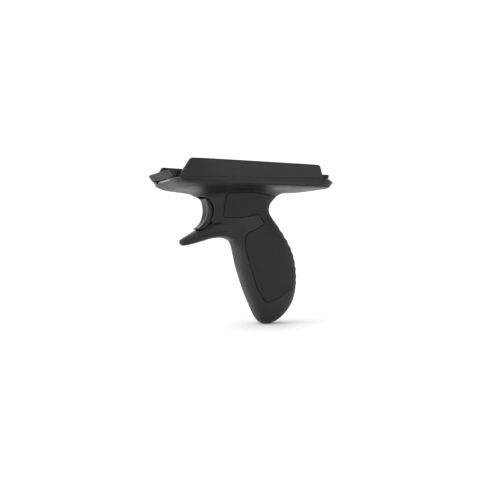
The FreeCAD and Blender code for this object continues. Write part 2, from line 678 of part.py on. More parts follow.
def trigger():
    front = spline(TRIGGER_FRONT)
    back = spline(TRIGGER_BACK)
    toe = Part.makeLine(Vector(TRIGGER_FRONT[-1][0], 0, TRIGGER_FRONT[-1][1]),
                        Vector(TRIGGER_BACK[0][0], 0, TRIGGER_BACK[0][1]))
    crown = Part.Arc(Vector(PIVOT_X + HUB_RADIUS, 0, PIVOT_Z), Vector(PIVOT_X, 0, PIVOT_Z + HUB_RADIUS),
                     Vector(PIVOT_X - HUB_RADIUS, 0, PIVOT_Z)).toShape()
    brow = Part.makeLine(Vector(PIVOT_X - HUB_RADIUS, 0, PIVOT_Z),
                         Vector(TRIGGER_FRONT[0][0], 0, TRIGGER_FRONT[0][1]))
    face = Part.Face(Part.Wire([front, toe, back, crown, brow]))
    face.translate(Vector(0, -TRIGGER_HALF, 0))
    body = face.extrude(Vector(0, 2 * TRIGGER_HALF, 0))
    edges = [e for e in body.Edges if abs(abs(e.CenterOfMass.y) - TRIGGER_HALF) < 0.01 and e.CenterOfMass.x < -34]
    body = body.makeFillet(1.3, [e for e in edges if e.Length > 15])
    scoop = Part.makeSphere(15.0, Vector(-34.4 - 13.9, 0, -26.4))
    shoulders = [box(-36.0, -20.0, side * 6.5 - 2.3, side * 6.5 + 2.3, -15.9, -8.0) for side in (-1, 1)]
    presser = box(-28.0, PLUNGER_TIP_X - 0.15, -2.2, 2.2, SWITCH_Z - 1.2, SWITCH_Z + 1.2)
    body = body.fuse(presser).cut([scoop] + shoulders)
    pivot_hole = rod(PIN_RADIUS + RUNNING_CLEARANCE, Vector(PIVOT_X, -10, PIVOT_Z), Y_AXIS, 20)
    return main_solid(body.cut(pivot_hole))


def pivot_bushes():
    bushes = []
    for start in (-8.3, 4.35):
        tube = rod(2.0, Vector(PIVOT_X, start, PIVOT_Z), Y_AXIS, 3.95)
        bushes.append(tube.cut(rod(PIN_RADIUS + 0.01, Vector(PIVOT_X, start - 1, PIVOT_Z), Y_AXIS, 6)))
    return bushes


def trigger_spring():
    """Torsion coil on the right-hand bush with one leg on the trigger and one on the shell."""
    wire = 0.3
    spring = placed(coil(2.45, wire, 4, 3.2), Vector(PIVOT_X, 4.8, PIVOT_Z), Y_AXIS)
    start = spring.BoundBox.YMin + wire
    end = spring.BoundBox.YMax - wire
    low_leg = rod(wire, Vector(PIVOT_X + 2.45, start, PIVOT_Z + 0.4), Vector(0.1, 0, -1), 3.4)
    high_leg = rod(wire, Vector(PIVOT_X + 2.45, end, PIVOT_Z - 0.4), Vector(1, 0, 0.5), 8.0)
    return spring.fuse([low_leg, high_leg])


# --- switch and contacts -----------------------------------------------------------------------
def switch_board():
    return box(BOARD_X, BOARD_X + BOARD_THICK, -10.2, 10.2, -32.5, -13.5)


def switch_body():
    body = box(BOARD_X - SWITCH_DEPTH, BOARD_X, -6.2, 6.2, SWITCH_Z - 4.5, SWITCH_Z + 4.5)
    body = body.makeChamfer(0.5, [e for e in body.Edges if e.CenterOfMass.x < BOARD_X - 0.1])
    return body.cut(rod(1.5, Vector(BOARD_X - SWITCH_DEPTH - 1, 0, SWITCH_Z), X_AXIS, 5.8))


def switch_plunger():
    length = BOARD_X - 3.6 - PLUNGER_TIP_X
    body = rod(1.45, Vector(PLUNGER_TIP_X, 0, SWITCH_Z), X_AXIS, length)
    tip = [e for e in body.Edges if abs(e.CenterOfMass.x - PLUNGER_TIP_X) < 0.01]
    return body.makeFillet(0.6, tip)


def board_connector():
    body = box(BOARD_X + BOARD_THICK, BOARD_X + BOARD_THICK + 2.4, -3.4, 3.4, -20.0, -16.0)
    return body.cut(box(-5.8, -5.4, -2.3, 2.3, -17.5, -15.0))


def board_parts():
    """Small chips on the rear face of the switch board."""
    x = BOARD_X + BOARD_THICK
    return [box(x, x + 0.9, 4.4, 7.6, -24.5, -22.9), box(x, x + 0.6, -7.4, -5.8, -22.4, -21.6),
            box(x, x + 0.6, -7.4, -5.8, -25.4, -24.6), box(x, x + 1.1, -3.0, 2.0, -29.5, -25.5)]


def contact_places():
    first = CONTACT_X - CONTACT_PITCH * (CONTACT_COUNT - 1) / 2
    return [first + CONTACT_PITCH * i for i in range(CONTACT_COUNT)]


def contact_screw_places():
    return [(CONTACT_X - 10.4, 4.4), (CONTACT_X + 10.4, -4.4)]


def contact_block():
    body = box(CONTACT_X - 9.0, CONTACT_X + 9.0, -3.5, 3.5, HULL_TOP, 0.5)
    body = body.makeFillet(0.5, [e for e in body.Edges if abs(e.CenterOfMass.z - 0.5) < 0.01])
    body = body.fuse(box(CONTACT_X - 12.2, CONTACT_X + 12.2, -6.2, 6.2, HULL_TOP - 1.2, HULL_TOP))
    tools = [rod(0.62, Vector(x, 0, -8), Z_AXIS, 10) for x in contact_places()]
    tools += [rod(0.85, Vector(x, y, -8), Z_AXIS, 6) for x, y in contact_screw_places()]
    return body.cut(tools)


def contact_board():
    body = box(CONTACT_X - 12.2, CONTACT_X + 12.2, -6.2, 6.2, HULL_TOP - 2.2, HULL_TOP - 1.2)
    tools = [rod(0.62, Vector(x, 0, -8), Z_AXIS, 10) for x in contact_places()]
    tools += [rod(0.85, Vector(x, y, -8), Z_AXIS, 6) for x, y in contact_screw_places()]
    return body.cut(tools)


def contact_pins():
    pins = []
    for x in contact_places():
        pin = rod(0.55, Vector(x, 0, -6.6), Z_AXIS, 6.6 + 0.5 + CONTACT_PROUD)
        tip_edges = [e for e in pin.Edges if e.CenterOfMass.z > 1.0 and len(e.Vertexes) == 1]
        pins.append(pin.makeFillet(0.4, tip_edges))
    return pins


def contact_connector():
    body = box(CONTACT_X - 9.6, CONTACT_X - 7.6, -2.8, 2.8, HULL_TOP - 4.2, HULL_TOP - 2.2)
    return body.cut(box(CONTACT_X - 10.0, CONTACT_X - 8.7, -2.3, 2.3, FLEX_TOP - 0.25, FLEX_TOP + 0.1))


def flex_cable():
    """Flat flexible cable: up from the switch board, round a bend and along to the contact board."""
    thick = 0.16
    outer = 2.5
    x0 = BOARD_X + BOARD_THICK + 1.12
    bend_x = x0 + outer
    bend_z = FLEX_TOP - outer
    up = box(x0, x0 + thick, -2.2, 2.2, -17.4, bend_z)
    over = box(bend_x, CONTACT_X - 8.8, -2.2, 2.2, FLEX_TOP - thick, FLEX_TOP)
    bend = rod(outer, Vector(bend_x, -2.2, bend_z), Y_AXIS, 4.4)
    bend = bend.cut(rod(outer - thick, Vector(bend_x, -3, bend_z), Y_AXIS, 6))
    bend = bend.common(box(x0 - 1, bend_x, -3, 3, bend_z, FLEX_TOP + 1))
    return main_solid(up.fuse([bend, over]))


def contact_screws():
    solid = screw(0.8, 1.5, 0.9, 3.9)
    return [placed(solid, Vector(x, y, HULL_TOP - 2.2), Z_AXIS * -1) for x, y in contact_screw_places()]


# --- fasteners and pads ------------------------------------------------------------------------
def tube(outer, inner, length):
    return rod(outer, Vector(0, 0, 0), Z_AXIS, length).cut(rod(inner, Vector(0, 0, -1), Z_AXIS, length + 2))


def cradle_screws():
    solid = screw(1.2, 2.2, 1.5, 6.0)
    return [placed(solid, Vector(x, y, -1.8), Z_AXIS) for x, y in both_sides(CRADLE_SCREWS)]


def cradle_inserts():
    solid = tube(1.73, 1.23, 4.2)
    return [placed(solid, Vector(x, y, HULL_TOP - 4.4), Z_AXIS) for x, y in both_sides(CRADLE_SCREWS)]


def shell_screws():
    return [placed(screw(1.25, 2.4, 1.6, seat + 6.0), Vector(x, seat, z), Y_AXIS)
            for x, z, seat in SHELL_SCREWS]


def shell_inserts():
    solid = tube(1.88, 1.28, 6.0)
    return [placed(solid, Vector(x, -0.6, z), Y_AXIS * -1) for x, z, _ in SHELL_SCREWS]


def seat_pads():
    half_x, half_y = SEAT_PAD_LENGTH / 2, SEAT_PAD_WIDTH / 2
    pads = []
    for x, y in SEAT_PADS:
        pad = box(x - half_x, x + half_x, y - half_y, y + half_y, -1.0, 0.0)
        pads.append(pad.makeFillet(2.0, [e for e in pad.Edges if abs(e.CenterOfMass.z + 0.5) < 0.01]))
    return pads


def wing_pads():
    inner = HALF_WIDTH - WING_WALL
    pads = []
    for side in (-1, 1):
        y = side * (inner - 0.45)
        pad = box(-26.0, 20.0, y - 0.35, y + 0.35, 4.0, 9.0)
        pads.append(pad.makeFillet(2.0, [e for e in pad.Edges if e.Length < 1]))
    return pads


# --- build -------------------------------------------------------------------------------------
os.makedirs("parts", exist_ok=True)

half = main_solid(plain_housing_half())
save("housing_right", right_housing(half))
save("housing_left", left_housing(half))
pad = grip_pad()
save("grip_pad_right", pad)
save("grip_pad_left", mirrored(pad))
save("cradle", cradle())
save("rear_hook_left", rear_hook(-1))
save("rear_hook_right", rear_hook(1))
save("front_latch", front_latch())
save("latch_plate", latch_plate())
save("trigger", trigger())
save("trigger_spring", trigger_spring())
save("trigger_pin", rod(PIN_RADIUS, Vector(PIVOT_X, -PIN_HALF, PIVOT_Z), Y_AXIS, 2 * PIN_HALF))
save("switch_board", switch_board())
save("switch_body", switch_body())
save("switch_plunger", switch_plunger())
save("board_connector", board_connector())
save("contact_block", contact_block())
save("contact_board", contact_board())
save("contact_connector", contact_connector())
save("flex_cable", flex_cable())
save("rim_gasket", gasket_ring(0.0))
groups = {
    "latch_screws": latch_screws(),
    "latch_springs": latch_springs(),
    "pivot_bushes": pivot_bushes(),
    "board_parts": board_parts(),
    "contact_pins": contact_pins(),
    "contact_screws": contact_screws(),
    "cradle_screws": cradle_screws(),
    "cradle_inserts": cradle_inserts(),
    "shell_screws": shell_screws(),
    "shell_inserts": shell_inserts(),
    "seat_pads": seat_pads(),
    "wing_pads": wing_pads(),
}
for name, solids in groups.items():
    save(name, Part.makeCompound(solids))
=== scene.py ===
import bmesh
import bpy
import math
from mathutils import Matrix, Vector


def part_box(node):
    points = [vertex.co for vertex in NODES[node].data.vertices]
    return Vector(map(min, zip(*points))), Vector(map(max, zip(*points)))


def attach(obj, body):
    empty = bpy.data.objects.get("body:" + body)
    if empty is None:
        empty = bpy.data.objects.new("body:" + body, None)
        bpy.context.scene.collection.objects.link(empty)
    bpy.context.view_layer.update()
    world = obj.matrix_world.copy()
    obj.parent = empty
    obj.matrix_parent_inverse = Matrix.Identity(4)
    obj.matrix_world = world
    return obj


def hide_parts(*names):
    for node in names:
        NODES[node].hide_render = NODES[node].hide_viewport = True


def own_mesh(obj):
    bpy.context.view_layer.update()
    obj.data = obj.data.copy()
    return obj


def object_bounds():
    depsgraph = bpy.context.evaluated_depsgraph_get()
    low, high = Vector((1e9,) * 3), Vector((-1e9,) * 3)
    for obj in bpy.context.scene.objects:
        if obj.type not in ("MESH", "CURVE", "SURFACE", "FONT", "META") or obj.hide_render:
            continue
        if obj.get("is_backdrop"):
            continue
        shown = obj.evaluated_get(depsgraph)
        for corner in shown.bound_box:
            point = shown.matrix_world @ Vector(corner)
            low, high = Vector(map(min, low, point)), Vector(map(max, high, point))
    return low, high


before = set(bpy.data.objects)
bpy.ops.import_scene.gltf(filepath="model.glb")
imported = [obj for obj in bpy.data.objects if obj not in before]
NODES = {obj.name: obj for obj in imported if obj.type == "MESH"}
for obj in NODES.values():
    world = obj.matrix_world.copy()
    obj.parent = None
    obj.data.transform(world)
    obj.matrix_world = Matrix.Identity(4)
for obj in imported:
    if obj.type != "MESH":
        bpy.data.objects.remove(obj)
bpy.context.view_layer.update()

bl_info = {
    "name": "Trigger Handle Finisher",
    "version": (1, 0, 0),
    "blender": (4, 5, 0),
    "location": "View3D > Sidebar > Handle",
    "description": "Finishes and studio for a clip-on trigger handle with a device cradle",
    "category": "Object",
}

# Wire radius, turns and mesh steps of the latch springs.
COIL_WIRE = 0.00013
COIL_TURNS = 7
COIL_STEPS = 24
WIRE_SIDES = 8
# Dot product of the rounded and the flat normal, on a flat face and on a worn edge.
FLAT_ALIGNMENT = 0.995
EDGE_ALIGNMENT = 0.80
TRACK_PITCH = 0.0007
# Power of the other soft lights as a share of the key light, and the point they all face.
TOP_SHARE = 0.9
FILL_SHARE = 0.3
LIGHT_TARGET = Vector((0, 0, -0.04))


# --- settings ----------------------------------------------------------------------------------
def colour_prop(name, description, default):
    return bpy.props.FloatVectorProperty(
        name=name, description=description, default=default, size=3, subtype="COLOR", min=0, max=1)


def length_prop(name, description, default):
    return bpy.props.FloatProperty(
        name=name, description=description, default=default, min=0, precision=5,
        subtype="DISTANCE", unit="LENGTH")


def factor_prop(name, description, default):
    return bpy.props.FloatProperty(
        name=name, description=description, default=default, min=0, max=1, subtype="FACTOR")


class HandleColours(bpy.types.PropertyGroup):
    shell: colour_prop("Shell", "Colour of the clamshell, cradle and latch", (0.0085, 0.0085, 0.0092))
    rubber: colour_prop("Rubber", "Colour of the grip overmould", (0.0075, 0.0075, 0.0079))
    trigger: colour_prop("Trigger", "Colour of the trigger", (0.0080, 0.0080, 0.0087))
    seal: colour_prop("Seals", "Colour of the gasket and the device pads", (0.022, 0.022, 0.023))
    dust: colour_prop("Dust", "Colour of the dust that lies in the grain", (0.16, 0.155, 0.145))


class HandleSurface(bpy.types.PropertyGroup):
    grain_pitch: length_prop("Grain pitch", "Distance between the pits of the moulded grain", 0.00045)
    grain_depth: length_prop("Grain depth", "Depth of the moulded grain", 0.000022)
    rubber_pitch: length_prop("Rubber pitch", "Distance between the pits in the rubber", 0.0007)
    rubber_depth: length_prop("Rubber depth", "Depth of the pits in the rubber", 0.00003)
    seam_width: length_prop("Seam width", "Half width of the parting line", 0.00018)
    wear_radius: length_prop("Wear radius", "How far edge wear reaches from an edge", 0.0007)
    specular: factor_prop("Specular", "How strongly the plastics reflect", 0.3)
    wear: factor_prop("Wear", "How strongly the edges are worn", 0.5)
    dust: factor_prop("Dust", "How much dust lies on upward faces", 0.22)


class HandleStage(bpy.types.PropertyGroup):
    azimuth: bpy.props.FloatProperty(
        name="Azimuth", description="Camera angle round the handle", default=math.radians(-25.0),
        subtype="ANGLE", unit="ROTATION")
    distance: length_prop("Distance", "Camera distance from the handle's axis", 0.562)
    height: bpy.props.FloatProperty(
        name="Height", description="Camera height", default=-0.052, subtype="DISTANCE", unit="LENGTH")
    lens: bpy.props.FloatProperty(
        name="Lens", description="Focal length in millimetres", default=46.1, min=1)
    floor: colour_prop("Floor", "Colour of the floor and backdrop", (0.90, 0.90, 0.90))
    room_light: bpy.props.FloatProperty(
        name="Room light", description="Strength of the even light all round", default=0.9, min=0)
    key_power: bpy.props.FloatProperty(
        name="Key light", description="Power of the main soft light", default=6.0, min=0, unit="POWER")
    side_power: bpy.props.FloatProperty(
        name="Side light", description="Power of the low light at the nose", default=9.0, min=0,
        unit="POWER")


# --- shader building ---------------------------------------------------------------------------
def add(tree, kind, inputs=None, **settings):
    """New node with its settings, and its inputs set to values or linked to sockets."""
    node = tree.nodes.new(kind)
    for name, value in settings.items():
        setattr(node, name, value)
    for key, value in (inputs or {}).items():
        socket = node.inputs[key]
        if isinstance(value, bpy.types.NodeSocket):
            tree.links.new(value, socket)
        else:
            socket.default_value = value
    return node


def calc(tree, operation, *values, clamp=False):
    node = add(tree, "ShaderNodeMath", dict(enumerate(values)), operation=operation, use_clamp=clamp)
    return node.outputs[0]


def ramp(tree, value, low, high, to_low=0.0, to_high=1.0, kind="SMOOTHSTEP"):
    """Value from low..high mapped to to_low..to_high."""
    node = add(tree, "ShaderNodeMapRange",
               {"Value": value, "From Min": low, "From Max": high, "To Min": to_low, "To Max": to_high},
               interpolation_type=kind)
    return node.outputs["Result"]


def blend_colour(tree, factor, first, second):
    node = add(tree, "ShaderNodeMix", {"Factor": factor}, data_type="RGBA")
    for socket, value in ((node.inputs[6], first), (node.inputs[7], second)):
        if isinstance(value, bpy.types.NodeSocket):
            tree.links.new(value, socket)
        else:
            socket.default_value = (*value, 1.0) if len(value) == 3 else value
    return node.outputs[2]


def noise_value(tree, vector, scale, detail=2.0, roughness=0.5):
    node = add(tree, "ShaderNodeTexNoise",
               {"Vector": vector, "Scale": scale, "Detail": detail, "Roughness": roughness})
    return node.outputs["Fac"]


def stretched(tree, vector, factors):
    node = add(tree, "ShaderNodeVectorMath", {0: vector, 1: factors}, operation="MULTIPLY")
    return node.outputs[0]


def new_group(name, inputs, outputs):
    """Empty shader group with named sockets. Inputs and outputs are (name, kind, default)."""
    tree = bpy.data.node_groups.new(name, "ShaderNodeTree")
    for in_out, sockets in (("INPUT", inputs), ("OUTPUT", outputs)):
        for socket_name, kind, default in sockets:
            socket = tree.interface.new_socket(
                name=socket_name, in_out=in_out, socket_type="NodeSocket" + kind)
            if default is not None:
                socket.default_value = default
    return tree, tree.nodes.new("NodeGroupInput").outputs, tree.nodes.new("NodeGroupOutput").inputs


def grain_group():
    """Pitted grain of a spark-eroded mould."""
    tree, given, result = new_group(
        "moulded_grain",
        [("Vector", "Vector", None), ("Pitch", "Float", 0.0005)],
        [("Height", "Float", None)])
    scale = calc(tree, "DIVIDE", 1.0, given["Pitch"])
    cells = add(tree, "ShaderNodeTexVoronoi", {"Vector": given["Vector"], "Scale": scale},
                feature="SMOOTH_F1").outputs["Distance"]
    fuzz = noise_value(tree, given["Vector"], calc(tree, "MULTIPLY", scale, 0.7), 3.0, 0.6)
    height = calc(tree, "ADD", calc(tree, "MULTIPLY", cells, 0.6), calc(tree, "MULTIPLY", fuzz, 0.5))
    tree.links.new(height, result["Height"])
    return tree


def variation_group():
    """Slow change over the surface, such as flow marks and handling."""
    tree, given, result = new_group(
        "slow_variation",
        [("Vector", "Vector", None), ("Size", "Float", 0.03)],
        [("Value", "Float", None)])
    scale = calc(tree, "DIVIDE", 1.0, given["Size"])
    broad = noise_value(tree, given["Vector"], scale, 3.0, 0.55)
    tree.links.new(ramp(tree, broad, 0.3, 0.7), result["Value"])
    return tree


def edge_group():
    """Mask along edges, broken up by noise, with the softened normal of a rounded edge."""
    tree, given, result = new_group(
        "edge_wear",
        [("Vector", "Vector", None), ("Radius", "Float", 0.0006), ("Amount", "Float", 0.5)],
        [("Mask", "Float", None), ("Normal", "Vector", None)])
    rounded = add(tree, "ShaderNodeBevel", {"Radius": given["Radius"]}, samples=6).outputs["Normal"]
    flat = add(tree, "ShaderNodeNewGeometry").outputs["Normal"]
    together = add(tree, "ShaderNodeVectorMath", {0: rounded, 1: flat},
                   operation="DOT_PRODUCT").outputs["Value"]
    edge = ramp(tree, together, FLAT_ALIGNMENT, EDGE_ALIGNMENT)
    broken = ramp(tree, noise_value(tree, given["Vector"], 420.0, 4.0, 0.7), 0.38, 0.66)
    mask = calc(tree, "MULTIPLY", calc(tree, "MULTIPLY", edge, broken), given["Amount"], clamp=True)
    tree.links.new(mask, result["Mask"])
    tree.links.new(rounded, result["Normal"])
    return tree


def dust_group():
    """Fine dust on faces that look up."""
    tree, given, result = new_group(
        "settled_dust",
        [("Vector", "Vector", None), ("Amount", "Float", 0.2)],
        [("Mask", "Float", None)])
    normal = add(tree, "ShaderNodeNewGeometry").outputs["Normal"]
    upward = add(tree, "ShaderNodeSeparateXYZ", {0: normal}).outputs["Z"]
    level = ramp(tree, upward, 0.25, 1.0)
    patches = ramp(tree, noise_value(tree, given["Vector"], 90.0, 4.0, 0.7), 0.35, 0.75)
    specks = ramp(tree, noise_value(tree, given["Vector"], 2600.0, 1.0, 0.5), 0.58, 0.72)
    both = calc(tree, "MULTIPLY", level, calc(tree, "ADD", calc(tree, "MULTIPLY", patches, 0.35), specks))
    tree.links.new(calc(tree, "MULTIPLY", both, given["Amount"], clamp=True), result["Mask"])
    return tree


def scuff_group():
    """Hairline scuffs running mostly along the grip."""
    tree, given, result = new_group(
        "hairline_scuffs",
        [("Vector", "Vector", None), ("Amount", "Float", 0.3)],
        [("Mask", "Float", None)])
    warp = add(tree, "ShaderNodeTexNoise", {"Vector": given["Vector"], "Scale": 35.0}).outputs["Color"]
    bent = add(tree, "ShaderNodeVectorMath", {0: warp, 1: (0.02, 0.02, 0.02), 2: given["Vector"]},
               operation="MULTIPLY_ADD").outputs[0]
    lines = noise_value(tree, stretched(tree, bent, (900.0, 900.0, 45.0)), 1.0, 1.0)
    patches = ramp(tree, noise_value(tree, given["Vector"], 40.0, 2.0), 0.48, 0.68)
    fine = ramp(tree, lines, 0.70, 0.78)
    mask = calc(tree, "MULTIPLY", calc(tree, "MULTIPLY", fine, patches), given["Amount"], clamp=True)
    tree.links.new(mask, result["Mask"])
    return tree


def seam_group():
    """Parting line where the two mould halves meet on the centre plane."""
    tree, given, result = new_group(
        "parting_line",
        [("Vector", "Vector", None), ("Half Width", "Float", 0.0002)],
        [("Mask", "Float", None)])
    across = calc(tree, "ABSOLUTE", add(tree, "ShaderNodeSeparateXYZ", {0: given["Vector"]}).outputs["Y"])
    outer = calc(tree, "MULTIPLY", given["Half Width"], 2.0)
    tree.links.new(ramp(tree, across, outer, given["Half Width"]), result["Mask"])
    return tree


def drawn_group():
    """Fine lines left by drawing, turning or brushing, stretched by a factor per axis."""
    tree, given, result = new_group(
        "drawn_lines",
        [("Vector", "Vector", None), ("Stretch", "Vector", (200.0, 6000.0, 6000.0))],
        [("Value", "Float", None)])
    lines = add(tree, "ShaderNodeVectorMath", {0: given["Vector"], 1: given["Stretch"]},
                operation="MULTIPLY").outputs[0]
    tree.links.new(ramp(tree, noise_value(tree, lines, 1.0, 2.0, 0.6), 0.3, 0.7), result["Value"])
    return tree


GROUP_MAKERS = {
    "moulded_grain": grain_group,
    "slow_variation": variation_group,
    "edge_wear": edge_group,
    "settled_dust": dust_group,
    "hairline_scuffs": scuff_group,
    "parting_line": seam_group,
    "drawn_lines": drawn_group,
}


def use_group(tree, name, inputs):
    """Place a shared group in a material, and build the group the first time it is needed."""
    shared = bpy.data.node_groups.get(name) or GROUP_MAKERS[name]()
    node = tree.nodes.new("ShaderNodeGroup")
    node.node_tree = shared
    for key, value in inputs.items():
        if isinstance(value, bpy.types.NodeSocket):
            tree.links.new(value, node.inputs[key])
        else:
            node.inputs[key].default_value = value
    return node.outputs


def new_material(name):
    """Material with an empty tree. Returns it with its tree, its shader and object coordinates."""
    material = bpy.data.materials.new(name)
    material.use_nodes = True
    tree = material.node_tree
    tree.nodes.clear()
    output = tree.nodes.new("ShaderNodeOutputMaterial")
    shader = tree.nodes.new("ShaderNodeBsdfPrincipled")
    tree.links.new(shader.outputs[0], output.inputs["Surface"])
    place = add(tree, "ShaderNodeTexCoord").outputs["Object"]
    return material, tree, shader, place


def bump(tree, shader, height, depth, normal=None):
    inputs = {"Height": height, "Distance": depth, "Strength": 1.0}
    if normal is not None:
        inputs["Normal"] = normal
    node = add(tree, "ShaderNodeBump", inputs)
    tree.links.new(node.outputs["Normal"], shader.inputs["Normal"])


def lighter(colour, factor):
    return tuple(min(channel * factor, 1.0) for channel in colour)


def moulded(name, colour, roughness, pitch, depth, wear=1.0, dust=1.0, seam=False, scuffs=0.3):
    """Grained moulding: slow colour and gloss change, worn edges, scuffs, dust and a parting line."""
    surface = bpy.context.scene.handle_surface
    colours = bpy.context.scene.handle_colours
    material, tree, shader, place = new_material(name)
    slow = use_group(tree, "slow_variation", {"Vector": place, "Size": 0.035})["Value"]
    fine = use_group(tree, "slow_variation", {"Vector": place, "Size": 0.006})["Value"]
    grain = use_group(tree, "moulded_grain", {"Vector": place, "Pitch": pitch})["Height"]
    edge = use_group(tree, "edge_wear",
                     {"Vector": place, "Radius": surface.wear_radius, "Amount": surface.wear * wear})
    scuff = use_group(tree, "hairline_scuffs", {"Vector": place, "Amount": scuffs})["Mask"]
    settled = use_group(tree, "settled_dust", {"Vector": place, "Amount": surface.dust * dust})["Mask"]
    tone = blend_colour(tree, slow, lighter(colour, 0.86), lighter(colour, 1.18))
    tone = blend_colour(tree, calc(tree, "MULTIPLY", grain, 0.35), tone, lighter(colour, 0.6))
    tone = blend_colour(tree, edge["Mask"], tone, lighter(colour, 3.4))
    tone = blend_colour(tree, scuff, tone, lighter(colour, 3.0))
    tone = blend_colour(tree, settled, tone, colours.dust)
    gloss = calc(tree, "ADD", roughness - 0.05, calc(tree, "MULTIPLY", slow, 0.07))
    gloss = calc(tree, "ADD", gloss, calc(tree, "MULTIPLY", fine, 0.04))
    gloss = calc(tree, "SUBTRACT", gloss, calc(tree, "MULTIPLY", edge["Mask"], 0.14))
    gloss = calc(tree, "ADD", gloss, calc(tree, "MULTIPLY", settled, 0.4), clamp=True)
    height = grain
    if seam:
        line = use_group(tree, "parting_line", {"Vector": place, "Half Width": surface.seam_width})["Mask"]
        tone = blend_colour(tree, line, tone, lighter(colour, 0.3))
        gloss = calc(tree, "ADD", gloss, calc(tree, "MULTIPLY", line, 0.3), clamp=True)
        height = calc(tree, "SUBTRACT", height, calc(tree, "MULTIPLY", line, 5.0))
    tree.links.new(tone, shader.inputs["Base Color"])
    tree.links.new(gloss, shader.inputs["Roughness"])
    shader.inputs["IOR"].default_value = 1.5
    shader.inputs["Specular IOR Level"].default_value = surface.specular
    bump(tree, shader, height, depth, edge["Normal"])
    return material


def metal(name, colour, roughness, stretch, depth, tarnish=0.6):
    """Drawn, turned or plated metal with fine lines and a patchy dull film."""
    material, tree, shader, place = new_material(name)
    slow = use_group(tree, "slow_variation", {"Vector": place, "Size": 0.004})["Value"]
    lines = use_group(tree, "drawn_lines", {"Vector": place, "Stretch": stretch})["Value"]
    edge = use_group(tree, "edge_wear", {"Vector": place, "Radius": 0.0002, "Amount": 0.7})
    tone = blend_colour(tree, slow, lighter(colour, tarnish), colour)
    tone = blend_colour(tree, calc(tree, "MULTIPLY", lines, 0.3), tone, lighter(colour, 0.75))
    tone = blend_colour(tree, edge["Mask"], tone, lighter(colour, 1.35))
    gloss = calc(tree, "ADD", roughness, calc(tree, "MULTIPLY", slow, 0.10))
    gloss = calc(tree, "ADD", gloss, calc(tree, "MULTIPLY", lines, 0.06), clamp=True)
    tree.links.new(tone, shader.inputs["Base Color"])
    tree.links.new(gloss, shader.inputs["Roughness"])
    shader.inputs["Metallic"].default_value = 1.0
    bump(tree, shader, lines, depth, edge["Normal"])
    return material


def board_material():
    """Green solder mask over copper tracks."""
    material, tree, shader, place = new_material("green_board")
    grid = add(tree, "ShaderNodeTexBrick",
               {"Vector": place, "Scale": 260.0, "Mortar Size": 0.09,
                "Mortar Smooth": 0.1, "Brick Width": 0.8, "Row Height": 0.35}).outputs["Fac"]
    weave = noise_value(tree, place, 900.0, 3.0, 0.6)
    tone = blend_colour(tree, grid, (0.004, 0.052, 0.020), (0.010, 0.105, 0.036))
    tone = blend_colour(tree, calc(tree, "MULTIPLY", weave, 0.3), tone, (0.003, 0.030, 0.012))
    tree.links.new(tone, shader.inputs["Base Color"])
    tree.links.new(ramp(tree, weave, 0.2, 0.8, 0.22, 0.38), shader.inputs["Roughness"])
    bump(tree, shader, calc(tree, "ADD", grid, calc(tree, "MULTIPLY", weave, 0.3)), 0.00004)
    return material


def flex_material():
    """Amber film with copper tracks showing through."""
    material, tree, shader, place = new_material("amber_flex")
    across = add(tree, "ShaderNodeSeparateXYZ", {0: place}).outputs["Y"]
    wave = calc(tree, "SINE", calc(tree, "MULTIPLY", across, 2 * math.pi / TRACK_PITCH))
    track = ramp(tree, wave, 0.0, 0.35)
    cloud = noise_value(tree, place, 500.0, 2.0)
    film = blend_colour(tree, cloud, (0.30, 0.085, 0.008), (0.42, 0.14, 0.015))
    tree.links.new(blend_colour(tree, track, film, (0.62, 0.24, 0.075)), shader.inputs["Base Color"])
    tree.links.new(ramp(tree, cloud, 0.2, 0.8, 0.24, 0.36), shader.inputs["Roughness"])
    bump(tree, shader, track, 0.00003)
    return material


def dress(material, *names):
    """Give CAD nodes a material."""
    for name in names:
        for slot in NODES[name].material_slots:
            slot.material = material


def spring_material():
    """Drawn wire, shared by the trigger spring and the latch springs."""
    return bpy.data.materials.get("spring_steel_wire") or metal(
        "spring_steel_wire", (0.36, 0.35, 0.34), 0.26, (5000.0, 900.0, 5000.0), 0.000006, 0.5)


def coil_mesh(name, starts, reach, radius, wire, turns):
    """Closed wire coils that run along X from each start."""
    coils = bmesh.new()
    steps = turns * COIL_STEPS
    for start in starts:
        rings = []
        for i in range(steps + 1):
            turn = 2 * math.pi * turns * i / steps
            outward = Vector((0, math.cos(turn), math.sin(turn)))
            middle = start + Vector((reach * i / steps, 0, 0)) + outward * radius
            ring = []
            for k in range(WIRE_SIDES):
                around = 2 * math.pi * k / WIRE_SIDES
                offset = outward * math.cos(around) + Vector((math.sin(around), 0, 0))
                ring.append(coils.verts.new(middle + offset * wire))
            rings.append(ring)
        for near, far in zip(rings, rings[1:]):
            for k in range(WIRE_SIDES):
                after = (k + 1) % WIRE_SIDES
                coils.faces.new((near[k], near[after], far[after], far[k]))
        coils.faces.new(rings[0])
        coils.faces.new(rings[-1])
    bmesh.ops.recalc_face_normals(coils, faces=coils.faces)
    for face in coils.faces:
        face.smooth = len(face.verts) == 4
    mesh = bpy.data.meshes.new(name)
    coils.to_mesh(mesh)
    coils.free()
    return mesh


def latch_coils(material):
    """The two latch springs, as fixed wire coils; the real springs shorten as the latch is pulled out."""
    low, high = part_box("latch_springs")
    radius = (high[2] - low[2]) / 2 - COIL_WIRE
    reach = high[0] - low[0] - 2 * COIL_WIRE
    height = (high[2] + low[2]) / 2
    aside = high[1] - radius - COIL_WIRE
    starts = [Vector((low[0] + COIL_WIRE, side * aside, height)) for side in (-1, 1)]
    coils = bpy.data.objects.new(
        "latch_coils", coil_mesh("latch_coils", starts, reach, radius, COIL_WIRE, COIL_TURNS))
    bpy.context.scene.collection.objects.link(coils)
    coils.data.materials.append(material)
    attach(coils, "handle")
    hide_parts("latch_springs")
    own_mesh(coils)


